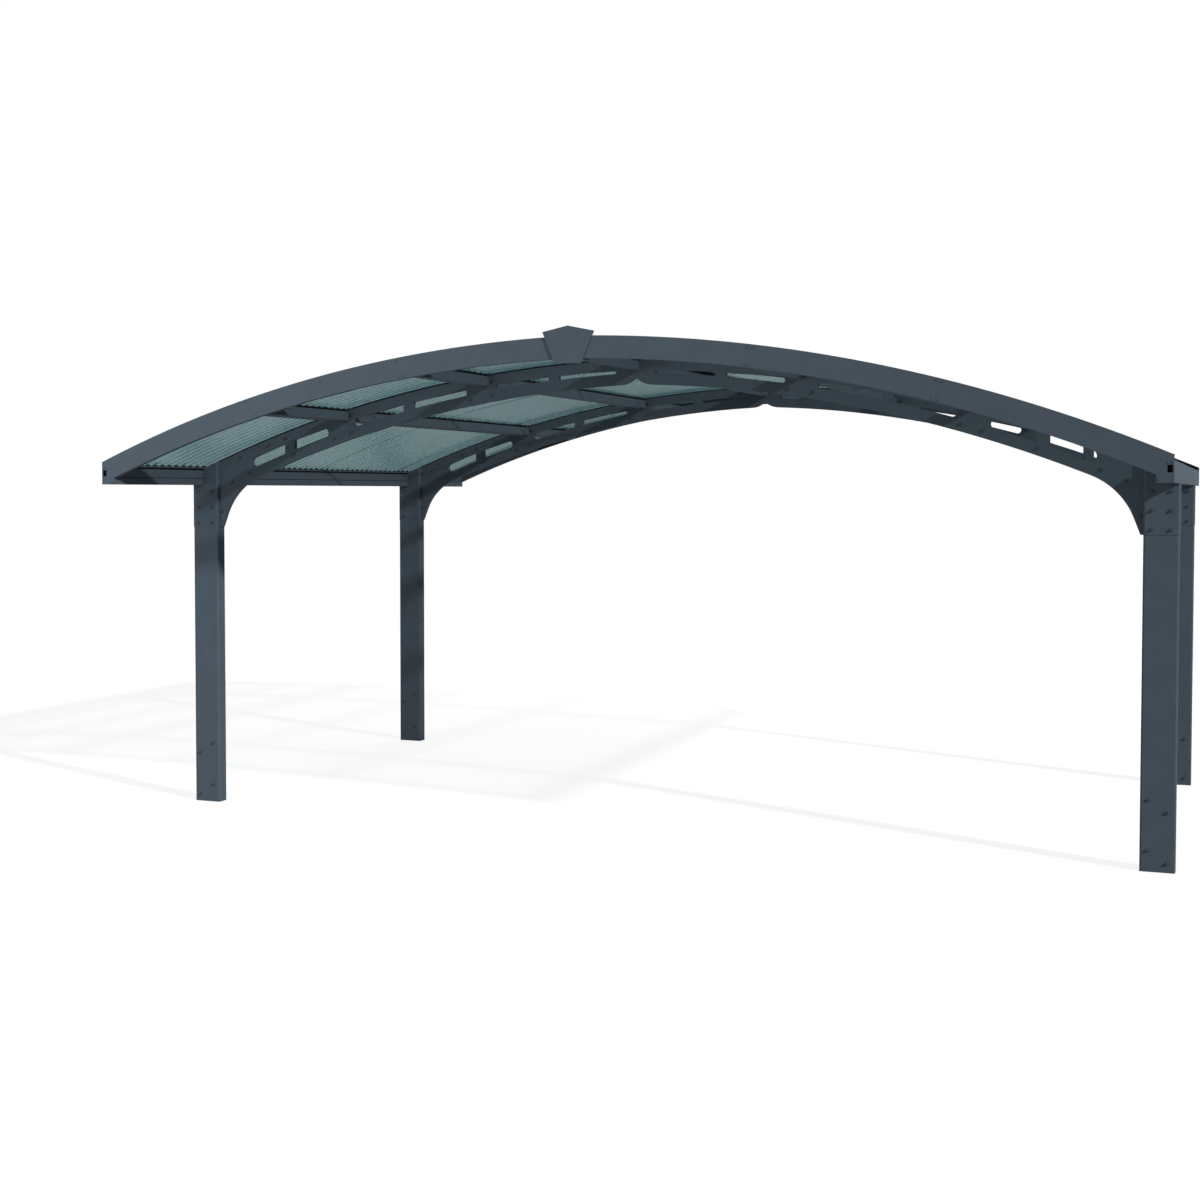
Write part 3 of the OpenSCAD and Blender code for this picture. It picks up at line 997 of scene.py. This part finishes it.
@dataclass
class PurlinShadeStrips:
    """Near-black strips in the necks of the purlins, on both sides, that paint the shade of the
    necks.
    """

    material: bpy.types.Material
    top: Arch = field(default_factory=lambda: Arch(7.5536))
    lines: tuple[float, ...] = (0.925, 1.85)
    ridge_x: float = 0.020
    spans: tuple[tuple[float, float], ...] = (
        (-2.3855, -1.4360), (-1.4070, 1.4070), (1.4360, 2.3855))
    neck: float = 0.012
    thick: float = 0.0065
    height: float = 0.0118
    drop: float = 0.0006
    bead: float = 0.0012
    margin_share: float = 0.2

    def build(self) -> None:
        """Lays the strips of all purlins."""
        model = self.strip()
        places = self.places(Side.RIGHT, 0.0)
        Bench.seat(Bench.gang(model, places), "purlin_gasket_ridge", self.material, Slot.FRAME)
        for side in Side:
            for number, x in enumerate(self.lines, 1):
                strips = Bench.gang(model, self.places(side, x))
                Bench.seat(strips, f"purlin_gasket_{side.word}_{number}", self.material, Slot.FRAME)
        Bench.discard(model)

    def strip(self) -> bpy.types.Object:
        """Models a strip one metre long beside the neck, with a bead along its face.

        Returns:
            The model to copy.
        """
        middle = (self.neck + self.thick / 2, 0, -self.drop - self.height / 2)
        strip = Bench.block(middle, (self.thick, 1, self.height))
        Bench.pick(strip, "faces", lambda f: f.normal.x > FACING)
        Bench.inset(self.height * self.margin_share)
        Bench.push((self.bead, 0, 0))
        Bench.smooth(strip, 30)
        return strip

    def places(self, side: Side, x: float) -> list[Matrix]:
        """Places of the strips of one purlin.

        Args:
            side: half of the carport.
            x: distance of the purlin from the middle line.

        Returns:
            One transform for each strip.
        """
        normal = self.top.normal(side, x) if x else Vector((0, 0, 1))
        along = Vector((normal.z, 0, -normal.x))
        at = self.top.point(side, x, 0) if x else Vector((0, 0, self.top.height(self.ridge_x)))
        result = []
        for turned in (1, -1):
            turn = Matrix((along * turned, Vector((0, turned, 0)), normal)).transposed().to_4x4()
            for low, high in self.spans:
                shift = Matrix.Translation(at + Vector((0, (low + high) / 2, 0)))
                result.append(shift @ turn @ Matrix.Diagonal((1, high - low, 1, 1)))
        return result


@dataclass
class EaveShadeStrips:
    """Near-black strip in the long slot of each eave beam, also used as a thin cord in the fine
    groove; it paints the shade inside them.
    """

    material: bpy.types.Material
    wall: Arch = field(default_factory=lambda: Arch(7.5536))
    face_x: float = 2.822
    drop: float = 0.009
    height: float = 0.011
    depth: float = 0.006
    sunk: float = 0.0035
    lip: float = 0.002
    margin_share: float = 1 / 4
    round_share: float = 1 / 14
    word: str = "seal"

    @classmethod
    def shade_cord(cls, material: bpy.types.Material) -> "EaveShadeStrips":
        """Thin near-black cord in the fine groove below the slot, painting the groove's shade."""
        return cls(material, drop=0.0681, height=0.0036, depth=0.0012, sunk=0.0006, lip=0.0004,
                   word="shade_cord")

    def build(self) -> None:
        """Lays one strip on each side."""
        for side in Side:
            low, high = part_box(f"eave_beam_{side.word}")
            strip = self.strip(side, low.y, high.y)
            Bench.seat(strip, f"eave_{self.word}_{side.word}", self.material, Slot.FRAME)

    def strip(self, side: Side, y0: float, y1: float) -> bpy.types.Object:
        """Models one strip with a raised bead along its face.

        Args:
            side: half of the carport.
            y0: front end.
            y1: rear end.

        Returns:
            The strip.
        """
        x = side.value * (self.face_x + self.sunk + self.depth / 2)
        z = self.wall.height(self.face_x) - self.drop - self.height / 2
        strip = Bench.block((x, (y0 + y1) / 2, z), (self.depth, y1 - y0, self.height))
        Bench.pick(strip, "faces", lambda f: f.normal.x * side.value < -FACING)
        Bench.inset(self.height * self.margin_share)
        Bench.push((-side.value * self.lip, 0, 0))
        Bench.apply(strip, "BEVEL", width=self.height * self.round_share, segments=2,
                    limit_method="ANGLE")
        Bench.smooth(strip, 40)
        return strip


@dataclass
class TrussShadeStrips:
    """Near-black strips in the gap between the trusses and the roof sheets, bent along the arch;
    they paint the shade of that gap.
    """

    material: bpy.types.Material
    low: Arch = field(default_factory=lambda: Arch(7.5460))
    height: float = 0.0076
    width: float = 0.020
    ridge_x: float = 0.004
    end_x: float = 2.790
    groove: float = 0.0025
    margin_share: float = 1 / 4
    steps: int = 24

    def build(self) -> None:
        """Lays one strip on each truss half."""
        for side, end in QUARTERS:
            tag = tag_of(side, end)
            low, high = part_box(f"truss_{tag}")
            strip = self.strip(side, (low.y + high.y) / 2)
            Bench.seat(strip, f"truss_seal_{tag}", self.material, Slot.FRAME)

    def strip(self, side: Side, y: float) -> bpy.types.Object:
        """Sweeps the end face of a strip down the arch and grooves its two sides.

        Args:
            side: half of the carport.
            y: middle of the truss along the carport.

        Returns:
            The strip.
        """
        start = self.low.point(side, self.ridge_x, y, self.height / 2)
        lean = side.value * self.low.lean(self.ridge_x)
        Bench.clear()
        bpy.ops.mesh.primitive_plane_add(size=1, location=start,
                                         rotation=(0, lean + math.pi / 2, 0))
        strip = bpy.context.object
        strip.scale = (self.height, self.width, 1)
        Bench.settle(strip)
        turn = self.low.lean(self.end_x) - self.low.lean(self.ridge_x)
        Bench.edit(strip)
        bpy.ops.mesh.select_all(action="SELECT")
        Bench.push((0, 0, 0))
        Bench.sweep(self.low.centre(side), -side.value * turn, self.steps)
        Bench.pick(strip, "faces", lambda f: abs(f.normal.y) > FACING)
        Bench.inset(self.height * self.margin_share)
        bpy.ops.transform.shrink_fatten(value=-self.groove)
        Bench.smooth(strip, 30)
        return strip


@dataclass
class DrainShadeInserts:
    """Near-black inserts in the drain windows of the fascia tabs, that paint the shade inside the
    windows.
    """

    material: bpy.types.Material
    inner_x: float = 2.870
    outer_x: float = 2.894
    low_z: float = 2.019
    height: float = 0.035
    depth: float = 0.012
    sunk: float = 0.0045
    rim: float = 0.0015
    edge: float = 0.0006

    def build(self) -> None:
        """Sets one insert into each window."""
        for side, end in QUARTERS:
            tag = tag_of(side, end)
            plug = self.plug(side, end, outer_face(f"fascia_{tag}_lower", end))
            Bench.seat(plug, f"drain_plug_{tag}", self.material, Slot.FRAME)

    def plug(self, side: Side, end: End, face_y: float) -> bpy.types.Object:
        """Models one insert with a rim and a sunk face.

        Args:
            side: half of the carport.
            end: front or rear.
            face_y: outer face of the fascia.

        Returns:
            The insert.
        """
        width = self.outer_x - self.inner_x
        middle = (side.value * (self.inner_x + width / 2),
                  face_y - end.value * (self.sunk + self.depth / 2), self.low_z + self.height / 2)
        plug = Bench.block(middle, (width, self.depth, self.height))
        Bench.pick(plug, "faces", lambda f: f.normal.y * end.value > FACING)
        Bench.inset(self.rim)
        Bench.push((0, -end.value * self.depth / 2, 0))
        Bench.apply(plug, "BEVEL", width=self.edge, segments=2, limit_method="ANGLE")
        Bench.smooth(plug, 40)
        return plug


@dataclass
class FrameDress:
    """Paint of the frame's own solids."""

    palette: Palette

    def dress(self, nodes: dict[str, bpy.types.Object]) -> None:
        """Gives every solid its finish.

        Args:
            nodes: the frame's objects by name.
        """
        for name, node in nodes.items():
            node.data.materials.clear()
            node.data.materials.append(self.finish_of(name))

    def finish_of(self, name: str) -> bpy.types.Material:
        """Finish of a solid by the first word of its name."""
        word = name.split("_")[0]
        if word == "sheet":
            return self.palette.sheet
        return self.palette.post if word in ("post", "head") else self.palette.frame


@dataclass(frozen=True)
class SoftLight:
    """Large square lamp that fills in the shaded faces."""

    name: str
    power: float
    size: float
    place: tuple[float, float, float]
    aim: tuple[float, float, float]


@dataclass
class Studio:
    """Floor, light, backdrop and camera."""

    floor_size: float = 240.0
    sun_strength: float = 3.35
    sun_angle: float = math.radians(2)
    sun_heading: tuple[float, float] = (0.912, -0.410)
    sun_lift: float = math.radians(26)
    sky: float = 0.285
    fills: tuple[SoftLight, ...] = (
        SoftLight("front_fill", 170.0, 3.0, (-3.4, -7.3, 2.8), (-1.9, -2.0, 1.7)),
        SoftLight("back_fill", 260.0, 4.0, (-1.0, 9.5, 3.4), (-0.5, 2.4, 1.5)))
    floor_bounce: float = 0.40
    floor_seen: float = 0.24
    floor_glow: float = 0.825
    sensor: float = 36.0
    far: float = 500.0
    lens: float = 52.24
    shift: tuple[float, float] = (0.0318, -0.0358)
    eye: tuple[float, float, float] = (3.190, -10.734, 1.933)
    pan: float = math.radians(21.35)
    dip: float = math.radians(2.156)

    def build(self) -> None:
        """Sets up the whole studio."""
        self.lay_floor()
        self.hang_sun()
        self.hang_fills()
        self.paint_sky()
        self.set_camera()
        bpy.context.scene.view_settings.view_transform = "Standard"

    def lay_floor(self) -> None:
        """Lays a pale floor that keeps the shadow."""
        Bench.clear()
        bpy.ops.mesh.primitive_plane_add(size=self.floor_size)
        floor = bpy.context.object
        floor.name = "floor"
        sketch = NodeSketch("pale_floor")
        seen = self.seen_share(sketch.tree)
        plain = sketch.add("BsdfDiffuse", Color=(self.floor_bounce,) * 3 + (1,))
        pale = sketch.add("BsdfDiffuse", Color=(self.floor_seen,) * 3 + (1,))
        glow = sketch.add("Emission", Color=(1, 1, 1, 1), Strength=self.floor_glow)
        mix = sketch.join(plain, sketch.join(pale, glow), seen)
        floor.data.materials.append(sketch.finish(mix.outputs[0]))

    @staticmethod
    def seen_share(tree: bpy.types.NodeTree) -> bpy.types.NodeSocket:
        """One where the ray comes from the eye, a reflection or a clear piece.

        Args:
            tree: node tree to build in.

        Returns:
            The share of the backdrop's own white.
        """
        ray = tree.nodes.new("ShaderNodeLightPath").outputs
        clear = Studio.reckon(tree, "SUBTRACT", ray["Is Transmission Ray"], ray["Is Diffuse Ray"])
        mirrored = Studio.reckon(tree, "MAXIMUM", ray["Is Glossy Ray"], clear)
        return Studio.reckon(tree, "MAXIMUM", ray["Is Camera Ray"], mirrored)

    @staticmethod
    def reckon(tree: bpy.types.NodeTree, operation: str, first: bpy.types.NodeSocket,
               second: bpy.types.NodeSocket) -> bpy.types.NodeSocket:
        """Joins two values by one operation."""
        node = tree.nodes.new("ShaderNodeMath")
        node.operation = operation
        tree.links.new(first, node.inputs[0])
        tree.links.new(second, node.inputs[1])
        return node.outputs[0]

    def hang_sun(self) -> None:
        """Hangs the main light at the front right."""
        lamp = bpy.data.lights.new("main_light", "SUN")
        lamp.energy = self.sun_strength
        lamp.angle = self.sun_angle
        light = bpy.data.objects.new("main_light", lamp)
        flat = Vector(self.sun_heading) * math.cos(self.sun_lift)
        towards = Vector((flat.x, flat.y, math.sin(self.sun_lift)))
        light.rotation_euler = towards.to_track_quat("Z", "Y").to_euler()
        bpy.context.scene.collection.objects.link(light)

    def hang_fills(self) -> None:
        """Hangs the large soft lights at the front left and at the back."""
        for fill in self.fills:
            lamp = bpy.data.lights.new(fill.name, "AREA")
            lamp.energy = fill.power
            lamp.size = fill.size
            light = bpy.data.objects.new(fill.name, lamp)
            light.location = fill.place
            light.visible_camera = False
            light.visible_glossy = False
            away = Vector(fill.place) - Vector(fill.aim)
            light.rotation_euler = away.to_track_quat("Z", "Y").to_euler()
            bpy.context.scene.collection.objects.link(light)

    def paint_sky(self) -> None:
        """Fills the surroundings with soft light and a white backdrop."""
        world = bpy.data.worlds.new("studio")
        world.use_nodes = True
        tree = world.node_tree
        tree.nodes.clear()
        mix = tree.nodes.new("ShaderNodeMixShader")
        tree.links.new(self.seen_share(tree), mix.inputs[0])
        for place, level in ((1, self.sky), (2, 1.0)):
            shade = tree.nodes.new("ShaderNodeBackground")
            shade.inputs["Color"].default_value = (1, 1, 1, 1)
            shade.inputs["Strength"].default_value = level
            tree.links.new(shade.outputs[0], mix.inputs[place])
        output = tree.nodes.new("ShaderNodeOutputWorld")
        tree.links.new(mix.outputs[0], output.inputs["Surface"])
        bpy.context.scene.world = world

    def set_camera(self) -> None:
        """Sets the camera at the measured place."""
        lens = bpy.data.cameras.new("camera")
        lens.lens = self.lens
        lens.sensor_width = self.sensor
        lens.shift_x, lens.shift_y = self.shift
        lens.clip_end = self.far
        camera = bpy.data.objects.new("camera", lens)
        camera.location = self.eye
        camera.rotation_euler = (math.pi / 2 - self.dip, 0.0, self.pan)
        bpy.context.scene.collection.objects.link(camera)
        bpy.context.scene.camera = camera


def main() -> None:
    """Builds the carport's looks piece by piece."""
    logging.basicConfig(level=logging.INFO, format="%(name)s %(message)s")
    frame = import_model()
    palette = Palette.mixed()
    Studio().build()
    FrameDress(palette).dress(frame["nodes"])
    sheets = RoofSheets(palette.sheet)
    sheets.build()
    PostBolts(palette.bolt).build()
    TrussBolts(palette.bolt).build()
    FasciaRivets(palette.frame).build()
    RoofScrews(palette.bolt, sheets).build()
    # The near-black pieces below paint shade into crests, purlin necks, eave slots, truss gaps and
    # drain windows; the teeth are foam closures as well
    WaveClosuresAndShade(palette.foam_and_shade, sheets).build()
    PurlinShadeStrips(palette.foam_and_shade).build()
    EaveShadeStrips(palette.foam_and_shade).build()
    EaveShadeStrips.shade_cord(palette.foam_and_shade).build()
    TrussShadeStrips(palette.foam_and_shade).build()
    DrainShadeInserts(palette.foam_and_shade).build()


if __name__ == "__main__":
    main()
